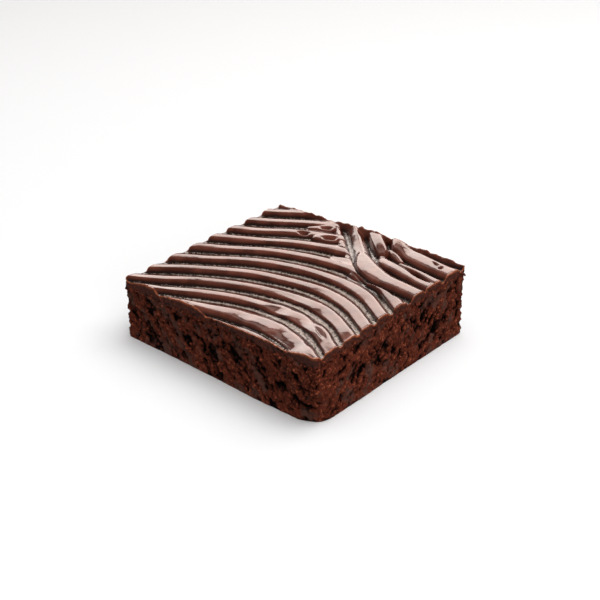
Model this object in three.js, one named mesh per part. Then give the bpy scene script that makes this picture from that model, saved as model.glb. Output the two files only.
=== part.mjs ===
// A square-cut chocolate brownie under a layer of combed chocolate icing.
//
// Millimetres, +Z up. The flat base lies on z = 0 with the origin at its middle, +X runs along
// the longer cut side and +Y along the shorter one.
//
// The brownie has two pieces. The cake is a dense slab whose four cut sides are pitted and whose
// top leans a little. The icing lies on that top. A toothed comb was drawn through it twice: the
// first sweep left ridges that arch over the slab, and the second cut across their far end.

import * as THREE from "three";

// Size of the slab
const LENGTH = 66;
const WIDTH = 60.8;
const CAKE_HEIGHT = 15.95; // at the middle of the cake's top
const RISE_ALONG_X = 0.0212; // how much the top climbs for each millimetre along X
const RISE_ALONG_Y = 0.0283;

// Corners and edges
const TOP_CORNER_RADIUS = 0.9;
const BASE_CORNER_RADIUS = 1.5;
const WORN_CORNER_RADIUS = 6; // at the base of the corner at +X and -Y, which has crumbled
const WORN_CORNER_TOP = 9; // height at which that wear ends
const BASE_EDGE_RADIUS = 0.5;

// Relief of the cut sides
const PIT_DEPTH = 1.1;
const PIT_SPACING = 3.4;
const SIDE_WAVE = 0.25; // depth of the long waves that the knife left
const SIDE_WAVE_SPACING = 14;

// Icing
const ICING_GAP = 0.2; // clearance over the cake
const FILM_THICKNESS = 1.4; // what the comb left at the bottom of a groove
const RIDGE_RISE = 1.5; // from the groove's floor to the ridge's crest
const RIDGE_WANDER = 0.3; // how far a crest strays to each side
const WANDER_SPACING = 12;
const RIDGE_SWELL = 0.1; // share by which a ridge's height varies
const SWELL_SPACING = 9;

// A ridge's section on each side of its crest: where the flat of the crest ends and where the foot
// is, in shares of the pitch, and how it curves between them. The first number of each pair is for
// upright ridges and the second for leaning ones, which are steep on the near side and fall away
// gently on the far one.
const NEAR_SIDE = { flat: [0.2, 0.1], foot: [0.43, 0.34], bend: [2, 2], steep: [0.9, 0.9] };
const FAR_SIDE = { flat: [0.04, 0.04], foot: [0.39, 0.58], bend: [2.2, 1.3], steep: [0.8, 1] };
const CREST_DOME = 0.12; // how much lower a section's curve is at its foot for its crest's dome
const LEANING_UNTIL_X = 4;
const UPRIGHT_FROM_X = 27;

// First sweep of the comb: a straight run, then an arch over its crown
const ARCH = {
  firstCrest: -31.5, // Y of the first crest at its crown
  pitch: 7.09,
  crownX: 14.4, // of the first crest
  crownStep: -0.75, // from that to the next crest's crown
  leftRadius: 57.5,
  rightRadius: 31.5,
  steepest: THREE.MathUtils.degToRad(31), // slope of the straight run
};

// Border of the second sweep, which comes down from the far side and levels out towards +X
const BORDER = {
  offset: 3.9, // Y at the side at +X
  slant: 0.78, // from a distance along Y to one across the border
  startX: -7, // where its first turn ends
  startRadius: 20,
  startSine: 0.35,
  bendX: 10, // where the steep run ends
  radius: 22,
  steepSine: 0.68,
  levelSine: 0.17,
};

// The bank of icing pushed up along that border, and where it dies out
const BANK = { middle: -0.6, halfWidth: 1.9, share: 0.95, left: 0.1, fadeX: 12, endX: 19 };

// The second sweep's ridges. Each point of a ridge has X, Y, half the ridge's width and its height
// as a share of the ridges' rise.
const STROKES = [
  [
    [-7.3, 33, 2, 0.8],
    [2.2, 24.4, 2.1, 0.84],
    [5.6, 21.2, 2.2, 0.9],
    [8.4, 18.3, 2.4, 1],
    [11.8, 15.4, 3.2, 1.06],
    [15.5, 13.2, 3.5, 1.08],
    [21, 11.2, 3.3, 1.06],
    [35, 9.6, 3, 1],
  ],
  [
    [0.3, 33, 1.9, 0.9],
    [6.2, 27.6, 2.2, 0.98],
    [8.9, 25.2, 2.3, 1.02],
    [11.4, 23, 1.9, 0.95],
    [12.6, 21.9, 1.1, 0.7],
  ],
  [
    [12.6, 21.2, 0.9, 0.7],
    [14.6, 19.6, 1.9, 0.92],
    [18, 18.4, 2.3, 1],
    [27, 16, 1.9, 0.98],
    [35, 15, 2.8, 1],
  ],
  [
    [19.2, 20.9, 0.8, 0.7],
    [22.6, 20.2, 1.2, 0.9],
    [27, 19.5, 1.4, 0.95],
    [35, 17.6, 2.2, 1],
  ],
  [
    [12.6, 24.9, 0.9, 0.8],
    [15.3, 23.6, 1.4, 0.95],
    [18.6, 21.9, 1, 0.8],
  ],
  [
    [8.6, 32.5, 1.2, 0.85],
    [10.9, 30.2, 1.9, 0.9],
    [13.6, 28.2, 2.6, 0.96],
    [17, 27.2, 3, 1.02],
    [21.5, 26.2, 3.3, 1.06],
    [35, 24.3, 3.2, 1.04],
  ],
  [
    [19.2, 6.6, 0.9, 0.85],
    [22, 5.5, 1.5, 0.85],
    [27, 4.5, 1.8, 0.9],
    [35, 3, 2, 0.95],
  ],
];
const STROKE_ROUND = 3; // how square a stroke's section is
const STROKE_STEEP = 0.75;

// How far inside the border the first sweep's ridges end and the second one's begin
const FIRST_ENDS = { from: 0.3, to: 1.3 };
const SECOND_BEGINS = { from: -0.6, to: 0.8 };

// How wide the filled creases are where two shapes meet, as shares of the ridges' rise
const CREASE = { bank: 0.3, strokes: 0.12, sweeps: 0.2, farRim: 0.3, leftRim: 0.2 };

// The rim along the far side, as shares of the ridges' rise: it swells where the second sweep
// began and is lower towards the corner at +X
const FAR_RIM = { width: 1.7, share: 0.95, fadeX: 20, fade: 0.35, swellX: -5, swellWidth: 9, swell: 0.6 };

// The rim along the side at -X, where the first sweep began
const LEFT_RIM = { width: 1, share: 0.62 };

// The lip squeezed up along the left part of the near side
const NEAR_LIP = { width: 3, rise: 0.6, fadeX: -8, endX: 0 };

// Where the ridges stand a little higher along the side at -X
const LEFT_SWELL = { y: 3, width: 5, length: 12, rise: 0.4 };

// Share of its height that the first ridge, which the knife cut lengthwise, has kept
const CUT_RIDGE_SHARE = 0.7;

// Dimples and torn pockets in the ridges: middle, length, width, direction and depth
const POCKETS = [
  { x: 26, y: -20.6, long: 5, wide: 1.2, turn: -0.5, deep: 0.5 },
  { x: 27.4, y: 25.2, long: 3, wide: 1.2, turn: -0.4, deep: 0.6 },
  { x: 27.6, y: 17.5, long: 5.5, wide: 1.2, turn: -0.25, deep: 0.6 },
  { x: -10.6, y: 25.6, long: 3.6, wide: 1.6, turn: 0.55, deep: 0.8 },
  { x: -5.2, y: 21.8, long: 3.8, wide: 1.7, turn: 0.5, deep: 0.9 },
  { x: -12.8, y: 18.9, long: 2.6, wide: 1.4, turn: 0.2, deep: 0.8 },
];

// Fineness of the meshes
const ICING_COLUMNS = 60;
const ICING_ROWS = 72;
const CAKE_SIDE_STEPS = 32;
const CAKE_CORNER_STEPS = 4;
const CAKE_RINGS = 10;

// Noise

// A repeatable random number from 0 to 1 for each point of a grid of whole numbers.
function gridValue(i, j, k) {
  let h = (i * 374761393 + j * 668265263 + k * 1274126177) | 0;
  h = Math.imul(h ^ (h >>> 13), 1274126177);
  return ((h ^ (h >>> 16)) >>> 0) / 4294967295;
}

// Smooth noise from -1 to 1 at a point.
function noise(x, y, z) {
  const [i, j, k] = [x, y, z].map(Math.floor);
  const ease = (t) => t * t * (3 - 2 * t);
  const [u, v, w] = [ease(x - i), ease(y - j), ease(z - k)];
  const mix = THREE.MathUtils.lerp;
  const layer = (dz) =>
    mix(
      mix(gridValue(i, j, k + dz), gridValue(i + 1, j, k + dz), u),
      mix(gridValue(i, j + 1, k + dz), gridValue(i + 1, j + 1, k + dz), u),
      v,
    );
  return 2 * mix(layer(0), layer(1), w) - 1;
}

// The cake's top and the long waves of its sides

function cakeTop(x, y) {
  return CAKE_HEIGHT + RISE_ALONG_X * x + RISE_ALONG_Y * y;
}

function sideWave(x, y, z) {
  const s = 1 / SIDE_WAVE_SPACING;
  return SIDE_WAVE * noise(x * s + 7, y * s + 3, z * s);
}

// Combed icing

// Y of the first sweep's path at x, measured from a crown at crownX.
function archPath(x, crownX) {
  const run = Math.abs(x - crownX);
  const radius = x < crownX ? ARCH.leftRadius : ARCH.rightRadius;
  const curved = Math.min(run, radius * Math.sin(ARCH.steepest));
  const drop = radius - Math.sqrt(radius * radius - curved * curved);
  return -drop - (run - curved) * Math.tan(ARCH.steepest);
}

// Number of the first sweep's tooth that passed through a point, with its fraction.
function archTooth(x, y) {
  let tooth = 5;
  for (let pass = 0; pass < 4; pass++) {
    const path = archPath(x, ARCH.crownX + ARCH.crownStep * tooth);
    tooth = (y - path - ARCH.firstCrest) / ARCH.pitch;
  }
  return tooth;
}

// Y of a path at x that turns from one sine of slope to another between two places, falling as x
// grows, measured from the place at endX.
function turn(x, startX, endX, startSine, endSine) {
  const radius = (endX - startX) / (startSine - endSine);
  const slopeOf = (sine) => sine / Math.sqrt(1 - sine * sine);
  const sine = endSine + (endX - THREE.MathUtils.clamp(x, startX, endX)) / radius;
  const arc = radius * (Math.sqrt(1 - endSine ** 2) - Math.sqrt(1 - sine ** 2));
  return arc + Math.max(0, startX - x) * slopeOf(startSine) - Math.max(0, x - endX) * slopeOf(endSine);
}

// How far a point lies inside the border of the second sweep.
function insideBorder(x, y) {
  const { startX, startRadius, startSine, bendX, radius, steepSine, levelSine } = BORDER;
  const levelX = bendX + radius * (steepSine - levelSine);
  const side = LENGTH / 2;
  const lower = turn(Math.max(x, startX), bendX, levelX, steepSine, levelSine);
  const farX = startX - startRadius * (steepSine - startSine);
  const upper = turn(Math.min(x, startX), farX, startX, startSine, steepSine);
  const border = lower + upper - turn(side, bendX, levelX, steepSine, levelSine);
  return (y - border - BORDER.offset) * BORDER.slant;
}

// Height of a ridge's section, from 0 at the foot to 1 at the crest, at a share t of the pitch
// from the crest. lean goes from 0, upright, to 1, leaning.
function ridgeSection(t, lean) {
  const side = t < 0 ? NEAR_SIDE : FAR_SIDE;
  const [flat, foot, bend, steep] = [side.flat, side.foot, side.bend, side.steep].map((pair) =>
    THREE.MathUtils.lerp(...pair, lean),
  );
  const share = Math.abs(t);
  const fall = THREE.MathUtils.clamp((share - flat) / (foot - flat), 0, 1);
  const dome = 1 - CREST_DOME * Math.min(share / foot, 1) ** 2;
  return dome * (1 - fall ** bend) ** steep;
}

// Height of the ridges that stand at whole numbers of a row of teeth.
function ridgeRow(tooth, lean) {
  const crest = Math.floor(tooth);
  return Math.max(ridgeSection(tooth - crest, lean), ridgeSection(tooth - crest - 1, lean));
}

function firstSweep(x, y) {
  const tooth = archTooth(x, y);
  const wander = (RIDGE_WANDER / ARCH.pitch) * noise(x / WANDER_SPACING, tooth, 5);
  const swell = 1 + RIDGE_SWELL * noise(x / SWELL_SPACING, Math.round(tooth) * 3.7, 1);
  const kept = THREE.MathUtils.lerp(CUT_RIDGE_SHARE, 1, THREE.MathUtils.smoothstep(tooth, 0.4, 0.8));
  const lean = 1 - THREE.MathUtils.smoothstep(x, LEANING_UNTIL_X, UPRIGHT_FROM_X);
  return swell * kept * ridgeRow(tooth + wander, lean);
}

// Height of one of the second sweep's ridges.
function strokeHeight(stroke, x, y) {
  let highest = 0;
  for (let n = 1; n < stroke.length; n++) {
    const [[x0, y0, width0, height0], [x1, y1, width1, height1]] = [stroke[n - 1], stroke[n]];
    const [runX, runY] = [x1 - x0, y1 - y0];
    const at = ((x - x0) * runX + (y - y0) * runY) / (runX ** 2 + runY ** 2);
    const along = THREE.MathUtils.clamp(at, 0, 1);
    const distance = Math.hypot(x - x0 - along * runX, y - y0 - along * runY);
    const share = Math.min(1, distance / THREE.MathUtils.lerp(width0, width1, along));
    const crest = THREE.MathUtils.lerp(height0, height1, along);
    highest = Math.max(highest, crest * (1 - share ** STROKE_ROUND) ** STROKE_STEEP);
  }
  return highest;
}

// Height of the bank of icing that the second sweep pushed up.
function bankHeight(x, inside) {
  const across = Math.abs(inside - BANK.middle) / BANK.halfWidth;
  const kept = THREE.MathUtils.lerp(1, BANK.left, THREE.MathUtils.smoothstep(x, BANK.fadeX, BANK.endX));
  return BANK.share * kept * Math.max(0, 1 - across ** 2);
}

// The larger of two heights, with the crease between them filled.
function softMax(a, b, width) {
  const overlap = Math.max(0, width - Math.abs(a - b)) / width;
  return Math.max(a, b) + (overlap * overlap * width) / 4;
}

function pocketDepth(x, y) {
  return POCKETS.reduce((deepest, pocket) => {
    const [dx, dy] = [x - pocket.x, y - pocket.y];
    const [c, s] = [Math.cos(pocket.turn), Math.sin(pocket.turn)];
    const along = (dx * c + dy * s) / (pocket.long / 2);
    const across = (dy * c - dx * s) / (pocket.wide / 2);
    return Math.max(deepest, pocket.deep * Math.exp(-(along ** 4) - across ** 2));
  }, 0);
}

// Height of the rim along the far side, as a share of the ridges' rise.
function farRim(x, y) {
  const { width, share, fadeX, fade, swellX, swellWidth, swell } = FAR_RIM;
  const reach = (WIDTH / 2 - y) / width;
  const kept = 1 - fade * THREE.MathUtils.smoothstep(x, fadeX, LENGTH / 2);
  const swollen = swell * Math.exp(-(((x - swellX) / swellWidth) ** 2));
  return (share * kept + swollen) * Math.exp(-(reach ** 2));
}

// Height of the rim along the side at -X, as a share of the ridges' rise.
function leftRim(x) {
  return LEFT_RIM.share * Math.exp(-(((x + LENGTH / 2) / LEFT_RIM.width) ** 2));
}

// Extra thickness along the near side and towards the side at -X.
function extraThickness(x, y) {
  const along = 1 - THREE.MathUtils.smoothstep(x, NEAR_LIP.fadeX, NEAR_LIP.endX);
  const lip = NEAR_LIP.rise * along * Math.exp(-(((y + WIDTH / 2) / NEAR_LIP.width) ** 2));
  const left = ((x + LENGTH / 2) / LEFT_SWELL.width) ** 2 + ((y - LEFT_SWELL.y) / LEFT_SWELL.length) ** 2;
  return lip + LEFT_SWELL.rise * Math.exp(-left);
}

// Height of the ridges and rims at a point of the slab's plan, as a share of the ridges' rise.
function ridgeHeight(x, y) {
  const inside = insideBorder(x, y);
  const share = ({ from, to }) => THREE.MathUtils.smoothstep(inside, from, to);
  const outside = softMax(firstSweep(x, y), bankHeight(x, inside), CREASE.bank);
  const first = THREE.MathUtils.lerp(outside, 0, share(FIRST_ENDS));
  const strokes = STROKES.map((stroke) => strokeHeight(stroke, x, y));
  const second = strokes.reduce((a, b) => softMax(a, b, CREASE.strokes)) * share(SECOND_BEGINS);
  const combed = softMax(first, second, CREASE.sweeps);
  return softMax(softMax(combed, farRim(x, y), CREASE.farRim), leftRim(x), CREASE.leftRim);
}

// Thickness of the icing at a point of the slab's plan.
function icingThickness(x, y) {
  return FILM_THICKNESS + RIDGE_RISE * ridgeHeight(x, y) + extraThickness(x, y) - pocketDepth(x, y);
}

// Meshes

// A closed mesh from points [x, y, z] and triangles of their numbers.
function closedGeometry(points, triangles) {
  const geometry = new THREE.BufferGeometry();
  geometry.setAttribute("position", new THREE.Float32BufferAttribute(points.flat(), 3));
  geometry.setIndex(triangles.flat());
  geometry.computeVertexNormals();
  return geometry;
}

// Two triangles for a quad a-b-c-d, split along the diagonal whose ends are closer in height.
function splitQuad(points, a, b, c, d) {
  const drop = (p, q) => Math.abs(points[p][2] - points[q][2]);
  return drop(a, c) < drop(b, d)
    ? [
        [a, b, c],
        [a, c, d],
      ]
    : [
        [a, b, d],
        [b, c, d],
      ];
}

// A point of the slab's plan with its corner rounded, from shares u and v of the half sides.
function roundedPlan(u, v) {
  const half = [LENGTH / 2, WIDTH / 2];
  const inner = half.map((h) => h - TOP_CORNER_RADIUS);
  const reach = [Math.abs(u) * half[0], Math.abs(v) * half[1]];
  const [p, q] = reach.map((r, n) => Math.max(0, (r - inner[n]) / TOP_CORNER_RADIUS));
  if (p > 0 && q > 0) {
    reach[0] = inner[0] + TOP_CORNER_RADIUS * p * Math.sqrt(1 - (q * q) / 2);
    reach[1] = inner[1] + TOP_CORNER_RADIUS * q * Math.sqrt(1 - (p * p) / 2);
  }
  return [Math.sign(u) * reach[0], Math.sign(v) * reach[1]];
}

// The icing: a combed upper face over a flat underside that leans with the cake's top.
function icingGeometry() {
  const points = [];
  const triangles = [];
  const across = ICING_COLUMNS + 1;
  const isEdge = (i, j) => i === 0 || j === 0 || i === ICING_COLUMNS || j === ICING_ROWS;
  for (let j = 0; j <= ICING_ROWS; j++) {
    for (let i = 0; i <= ICING_COLUMNS; i++) {
      const [u, v] = [(2 * i) / ICING_COLUMNS - 1, (2 * j) / ICING_ROWS - 1];
      const [x, y] = roundedPlan(u, v);
      const wave = isEdge(i, j) ? sideWave(x, y, CAKE_HEIGHT) : 0;
      const z = cakeTop(x, y) + ICING_GAP + icingThickness(x, y);
      points.push([x * (1 + wave / LENGTH), y * (1 + wave / WIDTH), z]);
    }
  }
  for (let j = 0; j < ICING_ROWS; j++) {
    for (let i = 0; i < ICING_COLUMNS; i++) {
      const a = j * across + i;
      triangles.push(...splitQuad(points, a, a + 1, a + 1 + across, a + across));
    }
  }
  const rim = [];
  for (let i = 0; i < ICING_COLUMNS; i++) rim.push(i);
  for (let j = 0; j < ICING_ROWS; j++) rim.push(j * across + ICING_COLUMNS);
  for (let i = ICING_COLUMNS; i > 0; i--) rim.push(ICING_ROWS * across + i);
  for (let j = ICING_ROWS; j > 0; j--) rim.push(j * across);
  const foot = points.length;
  for (const n of rim) {
    const [x, y] = points[n];
    points.push([x, y, cakeTop(x, y) + ICING_GAP]);
  }
  const middle = points.push([0, 0, cakeTop(0, 0) + ICING_GAP]) - 1;
  rim.forEach((top, n) => {
    const next = (n + 1) % rim.length;
    triangles.push([foot + n, foot + next, rim[next]], [foot + n, rim[next], top]);
    triangles.push([middle, foot + next, foot + n]);
  });
  return closedGeometry(points, triangles);
}

// Radius of each of the cake's corners at a height, in the order of cakeRing.
function cornerRadii(height) {
  const plain = THREE.MathUtils.lerp(BASE_CORNER_RADIUS, TOP_CORNER_RADIUS, height / CAKE_HEIGHT);
  const wear = 1 - THREE.MathUtils.smoothstep(height, 0, WORN_CORNER_TOP);
  const worn = THREE.MathUtils.lerp(plain, WORN_CORNER_RADIUS, wear);
  return [worn, plain, plain, plain];
}

// The outline of the cake at a height: points with their outward directions, anticlockwise from
// the side at -Y.
function cakeRing(height) {
  const inset = BASE_EDGE_RADIUS - Math.sqrt(
    BASE_EDGE_RADIUS ** 2 - Math.max(0, BASE_EDGE_RADIUS - height) ** 2,
  );
  const [hx, hy] = [LENGTH / 2 - inset, WIDTH / 2 - inset];
  const radii = cornerRadii(height);
  const signs = [[1, -1], [1, 1], [-1, 1], [-1, -1]];
  const ring = [];
  signs.forEach(([sx, sy], n) => {
    const radius = radii[n];
    const centre = [sx * (hx - radius), sy * (hy - radius)];
    const from = (n - 1) * (Math.PI / 2);
    for (let k = 0; k <= CAKE_CORNER_STEPS; k++) {
      const angle = from + (k / CAKE_CORNER_STEPS) * (Math.PI / 2);
      const out = [Math.cos(angle), Math.sin(angle)];
      ring.push({ at: [centre[0] + radius * out[0], centre[1] + radius * out[1]], out });
    }
    const next = (n + 1) % 4;
    const [nx, ny] = signs[next];
    const out = [Math.cos(from + Math.PI / 2), Math.sin(from + Math.PI / 2)];
    const start = ring[ring.length - 1].at;
    const end = [
      nx * (hx - radii[next]) + radii[next] * out[0],
      ny * (hy - radii[next]) + radii[next] * out[1],
    ];
    for (let k = 1; k < CAKE_SIDE_STEPS; k++) {
      const t = k / CAKE_SIDE_STEPS;
      ring.push({ at: start.map((s, m) => s + (end[m] - s) * t), out });
    }
  });
  return ring;
}

// How far a side stands in from its plane: pits and crags, none at the base and under the icing.
function sideRelief(x, y, z, share) {
  const s = 1 / PIT_SPACING;
  const lumps = noise(x * s, y * s, z * s * 1.3);
  const crumbs = noise(x * s * 2.3 + 5, y * s * 2.3, z * s * 2.3);
  const pits = Math.max(0, 0.65 * lumps + 0.35 * crumbs + 0.15);
  const fade = Math.min(1, 4 * share, 6 * (1 - share));
  return PIT_DEPTH * pits * fade;
}

// The cake: rings of outline joined up its sides, with a flat base and a flat leaning top.
function cakeGeometry() {
  const points = [];
  const triangles = [];
  const around = 4 * (CAKE_CORNER_STEPS + CAKE_SIDE_STEPS);
  for (let r = 0; r <= CAKE_RINGS; r++) {
    const share = r === 0 ? 0 : 0.06 + (0.94 * (r - 1)) / (CAKE_RINGS - 1);
    for (const { at, out } of cakeRing(share * CAKE_HEIGHT)) {
      const z = share * cakeTop(...at);
      const move = sideWave(at[0], at[1], z) - sideRelief(at[0], at[1], z, share);
      const [x, y] = at.map((c, n) => c + out[n] * move);
      points.push([x, y, share * cakeTop(x, y)]);
    }
  }
  const base = points.push([0, 0, 0]) - 1;
  const top = points.push([0, 0, cakeTop(0, 0)]) - 1;
  for (let n = 0; n < around; n++) {
    const next = (n + 1) % around;
    for (let r = 0; r < CAKE_RINGS; r++) {
      const [low, high] = [r * around, (r + 1) * around];
      triangles.push([low + n, low + next, high + next], [low + n, high + next, high + n]);
    }
    const last = CAKE_RINGS * around;
    triangles.push([base, next, n], [top, last + n, last + next]);
  }
  return closedGeometry(points, triangles);
}

// Assembly

const crumb = new THREE.MeshStandardMaterial({ color: 0x3a1a12, roughness: 0.85, metalness: 0 });
const glaze = new THREE.MeshStandardMaterial({ color: 0x4a2218, roughness: 0.2, metalness: 0 });

const brownie = new THREE.Group();

const cake = new THREE.Mesh(cakeGeometry(), crumb);
cake.name = "cake";
brownie.add(cake);

const icing = new THREE.Mesh(icingGeometry(), glaze);
icing.name = "icing";
brownie.add(icing);

export default brownie;
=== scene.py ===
"""A square-cut chocolate brownie under combed chocolate icing, dressed on its frame."""

import logging
import math
from dataclasses import dataclass, field
from enum import Enum

import bpy
import numpy as np
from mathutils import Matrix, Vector


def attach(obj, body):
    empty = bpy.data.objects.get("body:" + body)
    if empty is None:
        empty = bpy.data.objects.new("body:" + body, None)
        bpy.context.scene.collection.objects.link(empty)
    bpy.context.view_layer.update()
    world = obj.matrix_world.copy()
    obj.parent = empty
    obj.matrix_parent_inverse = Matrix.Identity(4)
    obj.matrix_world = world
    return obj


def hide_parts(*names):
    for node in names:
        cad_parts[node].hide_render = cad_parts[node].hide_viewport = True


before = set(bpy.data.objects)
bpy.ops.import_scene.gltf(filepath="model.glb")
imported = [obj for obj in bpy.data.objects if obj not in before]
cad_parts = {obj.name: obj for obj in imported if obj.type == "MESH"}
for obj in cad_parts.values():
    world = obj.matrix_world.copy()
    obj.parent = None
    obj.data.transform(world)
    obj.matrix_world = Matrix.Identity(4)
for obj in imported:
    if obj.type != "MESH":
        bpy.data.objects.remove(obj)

MM = 0.001
BODY = "root"

Array = np.ndarray
Colour = tuple[float, float, float]

log = logging.getLogger("brownie")


class Slot(Enum):
    """The record's material slots."""

    CRUMB = "crumb"
    ICING = "icing"


# Plain numbers


def shade(red: int, green: int, blue: int) -> Colour:
    """Turns a colour as seen on a screen into a linear one.

    Args:
        red: Red from 0 to 255.
        green: Green from 0 to 255.
        blue: Blue from 0 to 255.

    Returns:
        The linear colour.
    """
    parts = (channel / 255 for channel in (red, green, blue))
    linear = [c / 12.92 if c < 0.04045 else ((c + 0.055) / 1.055) ** 2.4 for c in parts]
    return linear[0], linear[1], linear[2]


def ramp(value: Array, low: float, high: float) -> Array:
    """Rises smoothly from 0 to 1 between two values.

    Args:
        value: The values.
        low: Where it is still 0.
        high: Where it has reached 1.

    Returns:
        A share for each value.
    """
    share = np.clip((value - low) / (high - low), 0, 1)
    return share * share * (3 - 2 * share)


def mix(low: Array | float, high: Array | float, share: Array) -> Array:
    """Returns the value at a share of the way from low to high."""
    return low + (high - low) * share


# Noise

WORD = 0xFFFFFFFF
FACTORS = (374761393, 668265263, 1274126177)


def lattice(i: Array, j: Array, k: Array) -> Array:
    """Gives each point of a grid of whole numbers its own repeatable random number.

    Args:
        i: First whole number.
        j: Second whole number.
        k: Third whole number.

    Returns:
        Numbers from 0 to 1.
    """
    first, second, third = (part.astype(np.int64) for part in (i, j, k))
    total = first * FACTORS[0] + second * FACTORS[1] + third * FACTORS[2]
    h = (total & WORD).astype(np.uint64)
    h = ((h ^ (h >> np.uint64(13))) * np.uint64(FACTORS[2])) & np.uint64(WORD)
    return (h ^ (h >> np.uint64(16))).astype(np.float64) / WORD


def noise(x: Array | float, y: Array | float, z: Array | float) -> Array:
    """Smooth noise in space.

    Args:
        x: First coordinate, one unit to each swell.
        y: Second coordinate.
        z: Third coordinate.

    Returns:
        Values from -1 to 1.
    """
    x, y, z = np.broadcast_arrays(*(np.asarray(c, dtype=np.float64) for c in (x, y, z)))
    i, j, k = (np.floor(c) for c in (x, y, z))
    u, v, w = (c - f for c, f in ((x, i), (y, j), (z, k)))
    u, v, w = (t * t * (3 - 2 * t) for t in (u, v, w))

    def layer(step: int) -> Array:
        """Returns the noise on one level of the grid."""
        near = mix(lattice(i, j, k + step), lattice(i + 1, j, k + step), u)
        far = mix(lattice(i, j + 1, k + step), lattice(i + 1, j + 1, k + step), u)
        return mix(near, far, v)

    return 2 * mix(layer(0), layer(1), w) - 1


def clumps(points: Array, size: float, seed: int) -> Array:
    """Distance to the middle of the nearest of many loosely packed clumps.

    Args:
        points: Points in rows of three.
        size: Spacing of the clumps.
        seed: Whole number that picks the packing.

    Returns:
        The distance in spacings.
    """
    scaled = points / size
    home = np.floor(scaled)
    nearest = np.full(len(points), 9.0)
    for step in np.ndindex(3, 3, 3):
        i, j, k = (home[:, axis] + step[axis] - 1 for axis in range(3))
        offsets = [lattice(i + 57 * seed, j + 131 * axis, k - 29 * seed) for axis in range(3)]
        middle = np.stack([i + offsets[0], j + offsets[1], k + offsets[2]], axis=1)
        nearest = np.minimum(nearest, np.linalg.norm(scaled - middle, axis=1))
    return nearest


# Meshes


def points_of(mesh: bpy.types.Mesh) -> Array:
    """Reads a mesh's points.

    Args:
        mesh: The mesh.

    Returns:
        The points in rows of three.
    """
    flat = np.empty(len(mesh.vertices) * 3)
    mesh.vertices.foreach_get("co", flat)
    return flat.reshape(-1, 3)


def move_points(mesh: bpy.types.Mesh, x: Array, y: Array, z: Array) -> None:
    """Moves a mesh's points to places in millimetres."""
    mesh.vertices.foreach_set("co", (np.stack([x, y, z], axis=1) * MM).ravel())


def keep_values(mesh: bpy.types.Mesh, values_of: dict[str, Array]) -> None:
    """Keeps values at a mesh's points, where its material reads them by name."""
    for name, values in values_of.items():
        mesh.attributes.new(name, "FLOAT", "POINT").data.foreach_set("value", values)


# Shader maths


class Signal:
    """A shader socket that can be used in a sum. Each sum adds its Math nodes."""

    def __init__(self, tree: bpy.types.NodeTree, socket: bpy.types.NodeSocket) -> None:
        """Keeps the socket and the tree that it belongs to."""
        self.tree = tree
        self.socket = socket

    def _math(self, operation: str, first: "Signal | float", second: "Signal | float") -> "Signal":
        """Adds a Math node.

        Args:
            operation: The node's operation.
            first: Its first value.
            second: Its second value.

        Returns:
            The result.
        """
        node = self.tree.nodes.new("ShaderNodeMath")
        node.operation = operation
        for place, value in enumerate((first, second)):
            if isinstance(value, Signal):
                self.tree.links.new(value.socket, node.inputs[place])
            else:
                node.inputs[place].default_value = value
        return Signal(self.tree, node.outputs[0])

    def __add__(self, other: "Signal | float") -> "Signal":
        """Returns self + other."""
        return self._math("ADD", self, other)

    def __radd__(self, other: float) -> "Signal":
        """Returns other + self."""
        return self._math("ADD", other, self)

    def __rsub__(self, other: float) -> "Signal":
        """Returns other - self."""
        return self._math("SUBTRACT", other, self)

    def __mul__(self, other: "Signal | float") -> "Signal":
        """Returns self * other."""
        return self._math("MULTIPLY", self, other)

    def __rmul__(self, other: float) -> "Signal":
        """Returns other * self."""
        return self._math("MULTIPLY", other, self)

    def between(self, low: float, high: float) -> "Signal":
        """Rises from 0 to 1 between two values.

        Args:
            low: Where it is still 0.
            high: Where it has reached 1.

        Returns:
            The share, held between 0 and 1.
        """
        node = self.tree.nodes.new("ShaderNodeMapRange")
        node.interpolation_type = "SMOOTHSTEP"
        self.tree.links.new(self.socket, node.inputs["Value"])
        node.inputs["From Min"].default_value = low
        node.inputs["From Max"].default_value = high
        return Signal(self.tree, node.outputs[0])


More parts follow.
